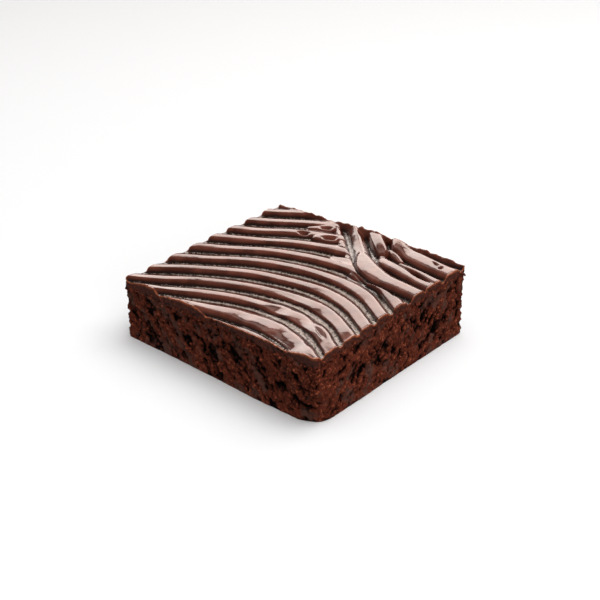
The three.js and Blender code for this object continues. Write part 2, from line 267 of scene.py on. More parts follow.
@dataclass
class Recipe:
    """The nodes of a material or of the world, added one at a time."""

    tree: bpy.types.NodeTree

    def node(
        self,
        kind: str,
        settings: dict[str, object] | None = None,
        sockets: dict[str, object] | None = None,
    ) -> bpy.types.Node:
        """Adds a node.

        Args:
            kind: The node's type.
            settings: Its settings, which are set first.
            sockets: Values or signals for its inputs, by their identifiers.

        Returns:
            The node.
        """
        node = self.tree.nodes.new(kind)
        for name, setting in (settings or {}).items():
            setattr(node, name, setting)
        for name, value in (sockets or {}).items():
            socket = next(s for s in node.inputs if s.identifier == name)
            if isinstance(value, Signal):
                self.tree.links.new(value.socket, socket)
            elif isinstance(value, tuple) and socket.type == "RGBA":
                socket.default_value = (*value, 1.0)
            else:
                socket.default_value = value
        return node

    def out(self, node: bpy.types.Node, place: int | str = 0) -> Signal:
        """Returns one of a node's outputs as a signal."""
        return Signal(self.tree, node.outputs[place])

    def place(self) -> Signal:
        """Returns the position on the piece in its own frame, in metres."""
        return self.out(self.node("ShaderNodeTexCoord"), "Object")

    def grain(self, spacing: float, detail: float, rough: float = 0.5) -> Signal:
        """Adds smooth noise.

        Args:
            spacing: Millimetres from one swell to the next.
            detail: Number of finer layers.
            rough: Strength of the finer layers.

        Returns:
            Values around 0.5.
        """
        sockets = {"Vector": self.place(), "Scale": 1 / (MM * spacing)}
        sockets |= {"Detail": detail, "Roughness": rough, "Distortion": 0}
        return self.out(self.node("ShaderNodeTexNoise", None, sockets))

    def attribute(self, name: str) -> Signal:
        """Returns one of the mesh's own values."""
        return self.out(self.node("ShaderNodeAttribute", {"attribute_name": name}), "Fac")

    def blend(self, share: Signal, low: Signal | Colour, high: Signal | Colour) -> Signal:
        """Blends two colours.

        Args:
            share: How much of the second colour shows.
            low: The first colour.
            high: The second colour.

        Returns:
            The colour.
        """
        sockets = {"Factor_Float": share, "A_Color": low, "B_Color": high}
        node = self.node("ShaderNodeMix", {"data_type": "RGBA"}, sockets)
        return Signal(self.tree, next(s for s in node.outputs if s.identifier == "Result_Color"))

    def bump(self, height: Signal, depth: float) -> Signal:
        """Adds fine relief.

        Args:
            height: The relief from 0 to 1.
            depth: Its depth in millimetres.

        Returns:
            The normal.
        """
        sockets = {"Strength": 1, "Distance": depth * MM, "Height": height}
        return self.out(self.node("ShaderNodeBump", None, sockets))


def new_material(name: str) -> tuple[bpy.types.Material, Recipe]:
    """Makes an empty material.

    Args:
        name: Its name.

    Returns:
        The material and its recipe.
    """
    material = bpy.data.materials.new(name)
    material.use_nodes = True
    material.node_tree.nodes.clear()
    return material, Recipe(material.node_tree)


def finish_material(recipe: Recipe, sockets: dict[str, object]) -> None:
    """Adds the shader and the output to a recipe.

    Args:
        recipe: The recipe.
        sockets: The shader's inputs.
    """
    shader = recipe.node("ShaderNodeBsdfPrincipled", None, sockets)
    recipe.node("ShaderNodeOutputMaterial", None, {"Surface": recipe.out(shader)})


# Finishes


@dataclass(frozen=True)
class IcingFinish:
    """Chocolate icing: glossy where combed, speckled in the grooves, matte where cut. Its colour
    carries painted shade at the ridges' feet, painted glints over painted shade in the grooves, and
    painted shade and light on the torn wall.
    """

    # The first colour is painted shade for the ridges' feet.
    foot: Colour = shade(22, 8, 4)
    dark: Colour = shade(74, 34, 23)
    pale: Colour = shade(108, 57, 43)
    # Painted shade and painted glints that speckle the floors of the grooves.
    hollow_shade: Colour = shade(34, 16, 10)
    groove_glint: Colour = shade(184, 165, 153)
    cut: Colour = shade(104, 54, 41)
    cut_dark: Colour = shade(60, 28, 20)
    torn: Colour = shade(98, 46, 32)
    # Painted shade for the torn wall's pits, and reddish crumb with painted light for its crags.
    torn_pit_shade: Colour = shade(14, 5, 3)
    torn_crag_tone_and_light: Colour = shade(164, 84, 60)
    rim: Colour = shade(196, 104, 62)
    gloss: float = 0.09

    def material(self) -> bpy.types.Material:
        """Makes the icing's material.

        Returns:
            The material.
        """
        material, recipe = new_material("chocolate_icing")
        bare = recipe.attribute("bare")
        cut = recipe.attribute("cut")
        crest = recipe.attribute("crest").between(0.1, 0.9)
        cloud = recipe.grain(5, 3).between(0.3, 0.7)
        glint_share = recipe.attribute("glint_share")
        # Painted glints: pale specks over painted shade on the floors of the grooves.
        speckle = (recipe.grain(0.42, 2, 0.7) + 0.18 * glint_share).between(0.55, 0.69)
        # Painted shade: the colour darkens towards the ridges' feet, low on each ridge.
        smooth = recipe.blend(crest, self.foot, recipe.blend(cloud, self.dark, self.pale))
        grooved = recipe.blend(bare, smooth, recipe.blend(speckle, self.hollow_shade, self.groove_glint))
        crumbly = recipe.grain(0.6, 4, 0.7).between(0.35, 0.65)
        coarse = recipe.grain(1.1, 3, 0.6)
        speck = recipe.grain(0.5, 2, 0.6).between(0.55, 0.7) * coarse.between(0.45, 0.6)
        # Painted light on the torn wall's raised bits, and painted shade in its pits.
        crumb = recipe.blend(speck, self.torn, self.torn_crag_tone_and_light)
        crumb = recipe.blend(coarse.between(0.36, 0.5), self.torn_pit_shade, crumb)
        sliced = recipe.blend(crumbly, self.cut_dark, self.cut)
        sliced = recipe.blend(recipe.attribute("torn"), sliced, crumb)
        frayed = recipe.attribute("rim") * recipe.grain(0.5, 2).between(0.3, 0.5)
        edged = recipe.blend(frayed, sliced, self.rim)
        colour = recipe.blend(cut, grooved, edged)
        roughness = self.gloss + 0.05 * cloud + bare * (0.4 - 0.3 * speckle) + cut * 0.5
        ripple = recipe.grain(2.2, 2, 0.4) * 0.15
        rough = recipe.grain(0.3, 2, 0.6) * (bare + cut) + coarse * cut
        normal = recipe.bump(ripple + rough, 0.12)
        sockets = {"Base Color": colour, "Roughness": roughness, "Normal": normal, "IOR": 1.5}
        finish_material(recipe, sockets)
        return material


@dataclass(frozen=True)
class CrumbFinish:
    """Dense moist crumb, near black in its pits from painted shade, reddish brown on its crags with
    painted light, and greyish on its smears from painted sheen.
    """

    name: str = "brownie_crumb"
    # Painted shade for the pits, the crumb's own colour, painted light with a reddish tone for the
    # crags, and painted sheen for the smears.
    pit_shade: Colour = shade(8, 2, 1)
    body: Colour = shade(110, 50, 34)
    crag_tone_and_light: Colour = shade(198, 106, 74)
    smear_sheen: Colour = shade(98, 64, 54)

    def material(self) -> bpy.types.Material:
        """Makes the crumb's material.

        Returns:
            The material.
        """
        material, recipe = new_material(self.name)
        relief = recipe.attribute("relief")
        fine = recipe.grain(0.7, 4, 0.7)
        speck = recipe.grain(0.8, 3, 0.7).between(0.52, 0.68)
        # Painted shade: pits and deep tears turn near black.
        dark = recipe.blend((relief + 0.6 * fine).between(0.7, 1.1), self.pit_shade, self.body)
        # Painted light: the raised crags turn lighter and redder in specks.
        light = (relief + 0.3 * fine).between(0.6, 1.1) * speck
        crumbs = recipe.blend(light, dark, self.crag_tone_and_light)
        # Painted sheen: smooth smears turn greyish, as if reflecting the room.
        smeared_sheen = recipe.attribute("smear_sheen") * relief.between(0.3, 0.6) * (1 - 0.5 * speck)
        colour = recipe.blend(smeared_sheen, crumbs, self.smear_sheen)
        normal = recipe.bump(fine * (1 - 0.4 * smeared_sheen), 0.7)
        sockets = {"Base Color": colour, "Roughness": 0.75 - 0.3 * smeared_sheen, "Normal": normal}
        finish_material(recipe, sockets | {"Specular IOR Level": 0.18})
        return material


# The slab's plan


@dataclass(frozen=True)
class Slab:
    """Outline and top of the cake, in millimetres."""

    length: float = 66.0
    width: float = 60.8
    height: float = 15.95
    rise_along_x: float = 0.0212
    rise_along_y: float = 0.0283
    top_corner: float = 0.4
    base_corner: float = 1.0
    worn_corner: float = 6.0
    worn_top: float = 9.0
    base_edge: float = 0.15
    wave: float = 0.25
    wave_spacing: float = 14.0

    def top(self, x: Array, y: Array) -> Array:
        """Returns the height of the cake's leaning top."""
        return self.height + self.rise_along_x * x + self.rise_along_y * y

    def side_wave(self, x: Array, y: Array, z: Array | float) -> Array:
        """Returns how far the long waves of the knife move a side outwards."""
        s = 1 / self.wave_spacing
        return self.wave * noise(x * s + 7, y * s + 3, z * s)


SLAB = Slab()


# Combed icing


@dataclass(frozen=True)
class Pocket:
    """A dimple or torn pocket in a ridge: its middle, size, direction and depth."""

    x: float
    y: float
    long: float
    wide: float
    turn: float
    deep: float

    def depth(self, x: Array, y: Array) -> Array:
        """Returns how deep the pocket is at each point."""
        dx, dy = x - self.x, y - self.y
        c, s = math.cos(self.turn), math.sin(self.turn)
        along = (dx * c + dy * s) / (self.long / 2)
        across = (dy * c - dx * s) / (self.wide / 2)
        return self.deep * np.exp(-(np.abs(along) ** 2.6) - across**2)


@dataclass(frozen=True)
class Stroke:
    """A ridge along a free path: each point has X, Y, half its width and its height."""

    points: tuple[tuple[float, float, float, float], ...]
    round: float = 2.6
    steps: int = 4

    def _path(self) -> Array:
        """Returns the path with a smooth curve through its points."""
        given = np.array(self.points)
        padded = np.vstack([2 * given[0] - given[1], given, 2 * given[-1] - given[-2]])
        parts = []
        for n in range(1, len(padded) - 2):
            p0, p1, p2, p3 = padded[n - 1 : n + 3]
            for t in np.arange(self.steps) / self.steps:
                bend = 2 * p0 - 5 * p1 + 4 * p2 - p3
                twist = 3 * p1 - p0 - 3 * p2 + p3
                parts.append(p1 + 0.5 * t * (p2 - p0 + t * (bend + t * twist)))
        return np.vstack([*parts, given[-1]])

    def height(self, x: Array, y: Array) -> Array:
        """Returns the ridge's height at each point, as a share of the ridges' rise."""
        path = self._path()
        highest = np.zeros_like(x)
        for start, end in zip(path, path[1:]):
            run = end[:2] - start[:2]
            along = ((x - start[0]) * run[0] + (y - start[1]) * run[1]) / (run @ run)
            along = np.clip(along, 0, 1)
            across = np.hypot(x - start[0] - along * run[0], y - start[1] - along * run[1])
            share = np.clip(across / mix(start[2], end[2], along), 0, 1)
            crest = mix(start[3], end[3], along)
            highest = np.maximum(highest, crest * (1 - share**self.round) ** 0.75)
        return highest


@dataclass(frozen=True)
class Section:
    """A ridge's section on one side, in shares of the pitch, upright and leaning."""

    flat: tuple[float, float]
    foot: tuple[float, float]
    bend: tuple[float, float]
    steep: tuple[float, float]

    def height(self, share: Array, lean: Array) -> Array:
        """Height of the section.

        Args:
            share: Distance from the crest in pitches.
            lean: 0 where the ridge is upright, 1 where it leans.

        Returns:
            Heights from 0 at the foot to 1 at the crest.
        """
        flat, foot = mix(*self.flat, lean), mix(*self.foot, lean)
        fall = np.clip((share - flat) / (foot - flat), 0, 1)
        dome = 0.12 * np.clip(share / foot, 0, 1) ** 2
        body = (1 - fall ** mix(*self.bend, lean)) ** mix(*self.steep, lean)
        return body * (1 - dome)


@dataclass(frozen=True)
class Comb:
    """The relief that two sweeps of a toothed comb left in the icing, in millimetres."""

    gap: float = 0.2
    film: float = 1.4
    rise: float = 1.5
    wander: float = 0.3
    near: Section = Section((0.34, 0.19), (0.43, 0.36), (2.2, 2.0), (0.8, 0.8))
    far: Section = Section((0.03, 0.04), (0.39, 0.58), (2.2, 1.3), (0.8, 1.0))
    arch_first: float = -31.5
    arch_pitch: float = 7.09
    arch_crown: float = 14.4
    arch_step: float = -0.75
    arch_left: float = 57.5
    arch_right: float = 31.5
    arch_steepest: float = math.radians(31)
    wander_spacing: float = 12.0
    swell: float = 0.1
    swell_spacing: float = 9.0
    cut_ridge: float = 0.7
    near_squeeze: float = 0.72
    bend_first: float = 3.9
    bend_slant: float = 0.78
    bend_start: float = -7.0
    bend_start_radius: float = 20.0
    bend_start_sine: float = 0.35
    bend_end: float = 10.0
    bend_radius: float = 22.0
    bend_steep: float = 0.68
    bend_level: float = 0.17
    border_waver: float = 0.3
    border_spacing: float = 2.6
    bank_middle: float = 0.4
    bank_half: float = 1.7
    bank_height: float = 0.92
    bank_fade: float = 0.9
    stroke_crease: float = 0.12
    crease: float = 0.2
    wide_crease: float = 0.3
    rim_reach: float = 1.0
    rim_waver: float = 0.4
    far_rim_height: float = 0.95
    far_rim_fade: float = 0.35
    far_rim_swell: float = 0.7
    left_rim_height: float = 0.42
    lip_height: float = 0.6
    lip_reach: float = 3.0
    left_swell: float = 0.4
    far_climb: float = 0.75
    front_fill: float = 0.35
    strokes: tuple[Stroke, ...] = (
        Stroke(
            (
                (-7.3, 33.0, 2.3, 0.9), (-3.8, 29.9, 2.4, 0.92), (2.2, 24.4, 2.3, 0.92),
                (5.6, 21.2, 2.3, 0.95), (8.4, 18.4, 2.4, 0.96), (10.5, 16.4, 1.6, 0.9),
            ),
            round=1.15,
        ),
        Stroke(
            (
                (6.4, 20.2, 1.0, 0.8), (8.6, 18.1, 2.3, 1.0), (11.8, 15.4, 3.2, 1.06),
                (15.5, 13.2, 3.5, 1.08), (21.0, 11.2, 3.3, 1.06), (27.0, 10.5, 3.0, 1.02),
                (35.0, 9.6, 3.0, 1.0),
            ),
            round=4.0,
        ),
        Stroke(
            (
                (0.3, 33.0, 2.3, 0.9), (3.4, 30.2, 2.4, 0.92), (6.2, 27.6, 2.4, 0.98),
                (8.9, 25.2, 2.3, 1.02), (11.4, 23.0, 1.9, 0.95), (12.6, 21.9, 1.1, 0.7),
            ),
            round=3.4,
        ),
        Stroke(
            (
                (12.6, 21.2, 0.9, 0.7), (14.6, 19.6, 1.9, 0.92), (18.0, 18.4, 2.3, 1.0),
                (22.0, 17.4, 2.2, 1.0), (27.0, 16.0, 1.9, 0.98), (31.0, 15.2, 2.2, 1.0),
                (35.0, 15.0, 2.8, 1.0),
            ),
            round=3.6,
        ),
        Stroke(
            (
                (19.2, 20.9, 0.8, 0.7), (22.6, 20.2, 1.2, 0.9), (27.0, 19.5, 1.4, 0.95),
                (31.0, 18.4, 1.8, 1.0), (35.0, 17.6, 2.2, 1.0),
            ),
            round=3.2,
        ),
        Stroke(
            (
                (12.6, 24.9, 0.9, 0.8), (15.3, 23.6, 1.4, 0.95), (18.6, 21.9, 1.0, 0.8),
            ),
            round=3.0,
        ),
        Stroke(
            (
                (8.6, 32.5, 1.2, 0.85), (10.9, 30.2, 1.9, 0.9), (13.6, 28.2, 2.6, 0.96),
                (17.0, 27.2, 3.0, 1.02), (21.5, 26.2, 3.3, 1.06), (27.0, 25.1, 3.3, 1.06),
                (35.0, 24.3, 3.2, 1.04),
            ),
            round=4.5,
        ),
        Stroke(
            (
                (19.2, 6.6, 0.9, 0.85), (22.0, 5.5, 1.5, 0.85), (27.0, 4.5, 1.8, 0.9),
                (35.0, 3.0, 2.0, 0.95),
            ),
        ),
    )
    mounds: tuple[Stroke, ...] = (
        Stroke(
            (
                (-9.5, 20.0, 1.8, 0.95), (-6.0, 21.8, 2.6, 1.0), (-4.4, 22.7, 2.0, 0.95),
            ),
            round=3.0,
        ),
        Stroke(
            (
                (-15.0, 23.6, 1.5, 0.9), (-11.6, 25.9, 2.4, 1.0), (-9.6, 27.2, 1.8, 0.95),
            ),
            round=3.0,
        ),
        Stroke(
            (
                (-4.5, 16.4, 1.6, 0.95), (-0.8, 17.9, 2.4, 1.0), (1.4, 17.8, 1.6, 0.95),
            ),
            round=3.6,
        ),
        Stroke(
            (
                (3.0, 12.2, 1.6, 1.0), (7.0, 13.0, 2.2, 1.0), (11.5, 11.4, 1.8, 0.98),
            ),
            round=5.0,
        ),
    )
    pockets: tuple[Pocket, ...] = (
        Pocket(26.0, -20.6, 5, 1, -0.5, 0.45),
        Pocket(27.2, 25.6, 2.6, 0.7, -0.4, 0.5),
        Pocket(29.4, 24.6, 1.2, 1.1, 0.5, 0.6),
        Pocket(27.6, 17.5, 5.5, 1.1, -0.25, 0.5),
        Pocket(12.9, 23.2, 1.6, 0.9, -0.9, 0.7),
        Pocket(-11.0, 26.0, 3.0, 1.4, 0.5, 1.1),
        Pocket(-6.0, 21.4, 3.6, 1.6, 0.4, 1.2),
        Pocket(-13.9, 19.4, 2.8, 1.3, 0.3, 1.0),
        Pocket(26.6, 3.0, 4.5, 0.7, -0.7, 0.6),
    )

    def arch_path(self, x: Array, crown: Array) -> Array:
        """Y of the first sweep's path.

        Args:
            x: Where it is read.
            crown: X of its crown.

        Returns:
            Y from the crown.
        """
        run = np.abs(x - crown)
        radius = np.where(x < crown, self.arch_left, self.arch_right)
        curved = np.minimum(run, radius * math.sin(self.arch_steepest))
        drop = radius - np.sqrt(radius * radius - curved * curved)
        return -drop - (run - curved) * math.tan(self.arch_steepest)

    def arch_tooth(self, x: Array, y: Array) -> Array:
        """Returns the number of the first sweep's tooth at each point, with its fraction."""
        tooth = np.full_like(x, 5.0)
        for _ in range(4):
            path = self.arch_path(x, self.arch_crown + self.arch_step * tooth)
            tooth = (y - path - self.arch_first) / self.arch_pitch
        return tooth

    @staticmethod
    def turning(x: Array, start: float, end: float, start_sine: float, end_sine: float) -> Array:
        """Y of a path that turns from one slope to another.

        Args:
            x: Where it is read.
            start: Where the turn begins.
            end: Where it ends.
            start_sine: Sine of its slope before the turn.
            end_sine: Sine of its slope after it.

        Returns:
            Y from the end of the turn.
        """
        radius = (end - start) / (start_sine - end_sine)
        sine = end_sine + (end - np.clip(x, start, end)) / radius
        arc = radius * (math.sqrt(1 - end_sine**2) - np.sqrt(1 - sine**2))
        before = np.maximum(0, start - x) * start_sine / math.sqrt(1 - start_sine**2)
        after = np.maximum(0, x - end) * end_sine / math.sqrt(1 - end_sine**2)
        return arc + before - after

    def bend_path(self, x: Array) -> Array:
        """Returns Y of the second sweep's path from where it leaves the slab."""
        level = self.bend_end + self.bend_radius * (self.bend_steep - self.bend_level)
        far = self.bend_start - self.bend_start_radius * (self.bend_steep - self.bend_start_sine)
        lower_turn = (self.bend_end, level, self.bend_steep, self.bend_level)
        lower = self.turning(np.maximum(x, self.bend_start), *lower_turn)
        upper_turn = (far, self.bend_start, self.bend_start_sine, self.bend_steep)
        upper = self.turning(np.minimum(x, self.bend_start), *upper_turn)
        side = self.turning(np.array([SLAB.length / 2]), *lower_turn)[0]
        return lower + upper - side

    def row(self, tooth: Array, lean: Array, squeeze: Array) -> Array:
        """Height of ridges that stand at whole numbers of a row of teeth.

        Args:
            tooth: Number of the tooth, with its fraction.
            lean: 0 where the ridges are upright, 1 where they lean.
            squeeze: Share of its distance from the crest at which a point of a near side is
                read. Less than 1 widens the near sides.

        Returns:
            Heights from 0 to 1.
        """
        share = tooth - np.floor(tooth)
        near = self.near.height((1 - share) * squeeze, lean)
        return np.maximum(self.far.height(share, lean), near)

    def first_sweep(self, x: Array, y: Array) -> Array:
        """Returns the height of the first sweep's ridges."""
        tooth = self.arch_tooth(x, y)
        wander = self.wander / self.arch_pitch * noise(x / self.wander_spacing, tooth, 5)
        crests = np.floor(tooth + 0.5) * 3.7
        swell = 1 + self.swell * noise(x / self.swell_spacing, crests, 1)
        kept = mix(self.cut_ridge, 1, ramp(tooth, 0.4, 0.8))
        lean = 1 - ramp(x - 0.4 * np.minimum(0, y + 5), 4, 27)
        plain = np.maximum(ramp(tooth, 1.1, 1.5), 1 - ramp(x, -16, -6))
        squeeze = mix(self.near_squeeze, 1, plain)
        return swell * kept * self.row(tooth + wander, lean, squeeze)

    def second_sweep(self, x: Array, y: Array) -> tuple[Array, Array, Array]:
        """Relief of the second sweep.

        Args:
            x: X of each point.
            y: Y of each point.

        Returns:
            How far inside the sweep each point lies, in millimetres, the height of its ridges
            and that of the bank that it pushed up along its border.
        """
        spacing = self.border_spacing
        inside = (y - self.bend_path(x) - self.bend_first) * self.bend_slant
        inside = inside + self.border_waver * noise(x / spacing, y / spacing, 17)
        ridges = np.zeros_like(x)
        for stroke in self.strokes:
            ridges = self.soft_max(ridges, stroke.height(x, y), self.stroke_crease)
        across = np.abs(inside + self.bank_middle) / self.bank_half
        bank = self.bank_height * np.clip(1 - across**1.5, 0, 1)
        bank = bank * (1 - self.bank_fade * ramp(x, 12, 19))
        return inside, ridges, bank

    @staticmethod
    def soft_max(a: Array, b: Array, width: float) -> Array:
        """Returns the larger of two heights, with the crease between them filled."""
        overlap = np.maximum(0, width - np.abs(a - b)) / width
        present = np.clip(np.minimum(a, b) / width, 0, 1)
        return np.maximum(a, b) + present * overlap * overlap * width / 4

    def far_rim(self, x: Array, y: Array) -> Array:
        """Returns the height of the rim along the far side."""
        waver = self.rim_reach + self.rim_waver * noise(x / 2.4, 3, 2)
        reach = (SLAB.width / 2 - y) / waver
        fade = 1 - self.far_rim_fade * ramp(x, 20, SLAB.length / 2)
        swollen = self.far_rim_swell * np.exp(-(((x - 1) / 12) ** 2))
        rugged = 1 + 0.3 * noise(x / 1.7, 8, 2)
        return (self.far_rim_height * fade * rugged + swollen) * np.exp(-(reach**2))

    def left_rim(self, x: Array, y: Array) -> Array:
        """Returns the height of the rim along the side at -X, where the sweep began."""
        waver = self.rim_reach + self.rim_waver * noise(y / 3, 4, 2)
        reach = (x + SLAB.length / 2) / waver
        return self.left_rim_height * np.exp(-(reach**2))

    def near_lip(self, x: Array, y: Array) -> Array:
        """Returns the extra thickness along the near side and towards the side at -X."""
        reach = (y + SLAB.width / 2) / self.lip_reach
        lip = self.lip_height * (1 - ramp(x, -8, 0)) * np.exp(-(reach**2))
        left = self.left_swell * np.exp(-(((x + 33) / 5) ** 2) - ((y - 3) / 12) ** 2)
        return lip + left

    def relief(self, x: Array, y: Array) -> tuple[Array, Array, Array, Array]:
        """Thickness of the icing.

        Args:
            x: X of each point.
            y: Y of each point.

        Returns:
            The thickness, how bare the comb left each point, from 0 to 1, how strongly painted
            glints speckle it there and how near it is to a crest, from 0 to 1.
        """
        first = self.first_sweep(x, y)
        inside, second, bank = self.second_sweep(x, y)
        second = second * (1 + self.far_climb * ramp(y, 19, 31) * (1 - ramp(x, 11, 18)))
        outside = self.soft_max(first, bank, self.wide_crease)
        for mound in self.mounds:
            outside = self.soft_max(outside, mound.height(x, y), self.crease)
        outside = mix(outside, 0, ramp(inside, 0.3, 1.3))
        ridges = self.soft_max(outside, second * ramp(inside, -0.6, 0.8), self.crease)
        ridges = self.soft_max(ridges, self.far_rim(x, y), self.wide_crease)
        ridges = self.soft_max(ridges, self.left_rim(x, y), self.crease)
        depth = np.max([pocket.depth(x, y) for pocket in self.pockets], axis=0)
        shallow = 1 - self.front_fill * ramp(x, -6, 16) * (1 - ramp(y, -16, 8))
        risen = self.rise * (1 - (1 - ridges) * shallow)
        combed = self.film + risen + self.near_lip(x, y) - depth
        bare = 1 - ramp(ridges, 0.015, 0.11)
        front = ramp(x, -6, 12) * (1 - ramp(y, -20, -6))
        sway = noise(x / 5, 1.7 * self.arch_tooth(x, y), 14)
        ripple = (0.05 + 0.27 * front) * sway + 0.01 * noise(x / 1.3, y / 0.9, 4)
        uneven = ramp(inside, 0.8, 2.5) * (1 - ramp(x, 3, 9))
        ripple = ripple + 0.15 * uneven * noise(x / 4.5, y / 4.5, 43)
        grit = 0.12 * noise(x / 0.5, y / 0.5, 8) + 0.08 * noise(x / 0.9, y / 0.9, 2)
        bare = bare * (1 - 0.65 * ramp(inside, -0.3, 1))
        # Share of painted glints in the grooves, fewer at the left and towards the right.
        glint_share = bare * mix(0.3, 1.15, ramp(x, -27, -6)) * (1 - 0.25 * ramp(x, 14, 28))
        return combed + ripple * (1 - bare) + grit * bare, bare, glint_share, np.clip(ridges, 0, 1)


@dataclass
class Icing:
    """The combed icing: one closed sheet over the cake's top."""

    comb: Comb = field(default_factory=Comb)
    columns: int = 300
    rows: int = 276
    levels: int = 8
    step: float = 0.1

    def _sheet(self) -> bpy.types.Object:
        """Models a fine grid with walls below its border and a closed underside.

        Returns:
            The sheet, two units long and wide, with its walls' levels one step apart.
        """
        bpy.ops.mesh.primitive_grid_add(
            x_subdivisions=self.columns, y_subdivisions=self.rows, size=2, calc_uvs=False
        )
        sheet = bpy.context.object
        bpy.ops.object.mode_set(mode="EDIT")
        bpy.ops.mesh.select_mode(type="EDGE")
        bpy.ops.mesh.select_all(action="DESELECT")
        bpy.ops.mesh.select_non_manifold()
        for _ in range(self.levels):
            bpy.ops.mesh.extrude_edges_move(TRANSFORM_OT_translate={"value": (0, 0, -self.step)})
        bpy.ops.mesh.edge_face_add()
        bpy.ops.mesh.select_all(action="SELECT")
        bpy.ops.mesh.normals_make_consistent(inside=False)
        bpy.ops.object.mode_set(mode="OBJECT")
        return sheet

    @staticmethod
    def _rounded_plan(u: Array, v: Array) -> tuple[Array, Array]:
        """Rounds the plan's corners.

        Args:
            u: Share of half the length.
            v: Share of half the width.

        Returns:
            X and Y of each point.
        """
        half = (SLAB.length / 2, SLAB.width / 2)
        radius = SLAB.top_corner
        reach_x, reach_y = np.abs(u) * half[0], np.abs(v) * half[1]
        p = np.maximum(0, (reach_x - half[0] + radius) / radius)
        q = np.maximum(0, (reach_y - half[1] + radius) / radius)
        corner = (p > 0) & (q > 0)
        round_x = half[0] - radius + radius * p * np.sqrt(1 - q * q / 2)
        round_y = half[1] - radius + radius * q * np.sqrt(1 - p * p / 2)
        x = np.where(corner, round_x, reach_x)
        y = np.where(corner, round_y, reach_y)
        return np.sign(u) * x, np.sign(v) * y

    def _shape(self, sheet: bpy.types.Object) -> None:
        """Presses the comb's relief into the sheet and roughens its cut walls.

        Args:
            sheet: The sheet.
        """
        mesh = sheet.data
        u, v, depth = points_of(mesh).T
        level = np.round(-depth / self.step) / self.levels
        x, y = self._rounded_plan(np.clip(u, -1, 1), np.clip(v, -1, 1))
        edge = np.maximum(np.abs(u), np.abs(v)) > 0.9999
        thickness, bare, glint_share, crest = self.comb.relief(x, y)
        low = SLAB.top(x, y) + self.comb.gap
        chips = 0.22 * np.maximum(0, noise(x / 0.9, y / 0.9, 21)) + 0.08
        thickness = thickness - np.where(edge, chips, 0)
        z = low + thickness * (1 - level)
        border = np.clip(crest + 0.12 * noise(x / 0.7, y / 0.7, z / 0.7), 0, 1)
        domed = ramp(border, 0.2, 0.55) * ramp(1 - level, 0.1, 0.4)
        domed = domed * mix(0.55, 1, ramp(x, 24, 32))
        torn = 1 - domed
        crags = 0.1 * noise(x / 1.3, y / 1.3, z / 1.3) + 0.09 * noise(x / 0.5, y / 0.5, z / 0.5 + 9)
        nicks = np.maximum(0, noise(x / 0.9, y / 0.9, z / 0.9))
        crags = crags * (1 + 1.2 * torn) - 0.12 * torn * nicks
        out = SLAB.side_wave(x, y, SLAB.height) + np.where(level > 0, crags + 0.1, 0.15)
        out = np.where(edge, out, 0)
        x = x * (1 + out / (SLAB.length / 2))
        y = y * (1 + out / (SLAB.width / 2))
        move_points(mesh, x, y, z)
        cut = np.where(edge, 1.0, 0.0)
        rim = np.where(edge & (level < 0.2), 1 - 4 * level, 0.0)
        # The material paints shade at the ridges' feet and glints in the grooves from these values.
        keep_values(mesh, {"bare": bare, "glint_share": glint_share, "crest": crest})
        keep_values(mesh, {"cut": cut, "rim": rim, "torn": torn})
        mesh.update()

    def build(self) -> bpy.types.Object:
        """Makes the icing and dresses it.

        Returns:
            The icing.
        """
        bpy.ops.object.select_all(action="DESELECT")
        sheet = self._sheet()
        sheet.name = "combed_icing"
        self._shape(sheet)
        bpy.ops.object.shade_smooth_by_angle(angle=math.radians(50))
        sheet.data.materials.append(IcingFinish().material())
        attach(sheet, BODY)
        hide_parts("icing")
        return sheet


# Cake


